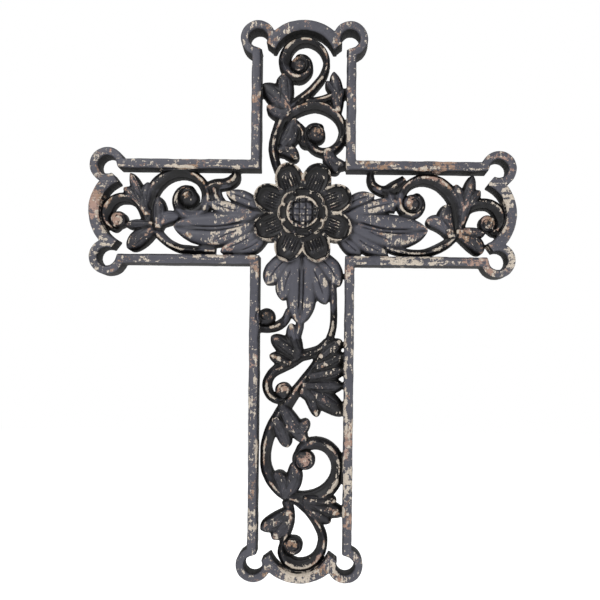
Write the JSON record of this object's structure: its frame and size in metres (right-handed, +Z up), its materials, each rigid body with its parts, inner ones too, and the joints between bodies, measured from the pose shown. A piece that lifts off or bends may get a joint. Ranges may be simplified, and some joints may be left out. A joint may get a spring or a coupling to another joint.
{
  "type": "carved wooden wall cross",
  "caption": "Openwork wooden wall cross with a lobed moulded frame around carved scrolls, leaves and a large central flower, in worn dark paint, made to hang on a wall.",
  "frame": {"origin": "on the flat back of the top crest, at its middle, where the cross hangs on the wall", "axes": "+Z up along the long arm, +X to the right as seen from the front, -Y out of the carved front, +Y into the wall"},
  "size_m": [0.463, 0.0285, 0.609],
  "materials": {
    "painted_wood": "charcoal paint over a cream ground, rubbed through to bare wood on edges and ridges, satin"
  },
  "bodies": {
    "root": {"carved_cross": "painted_wood"}
  },
  "joints": []
}
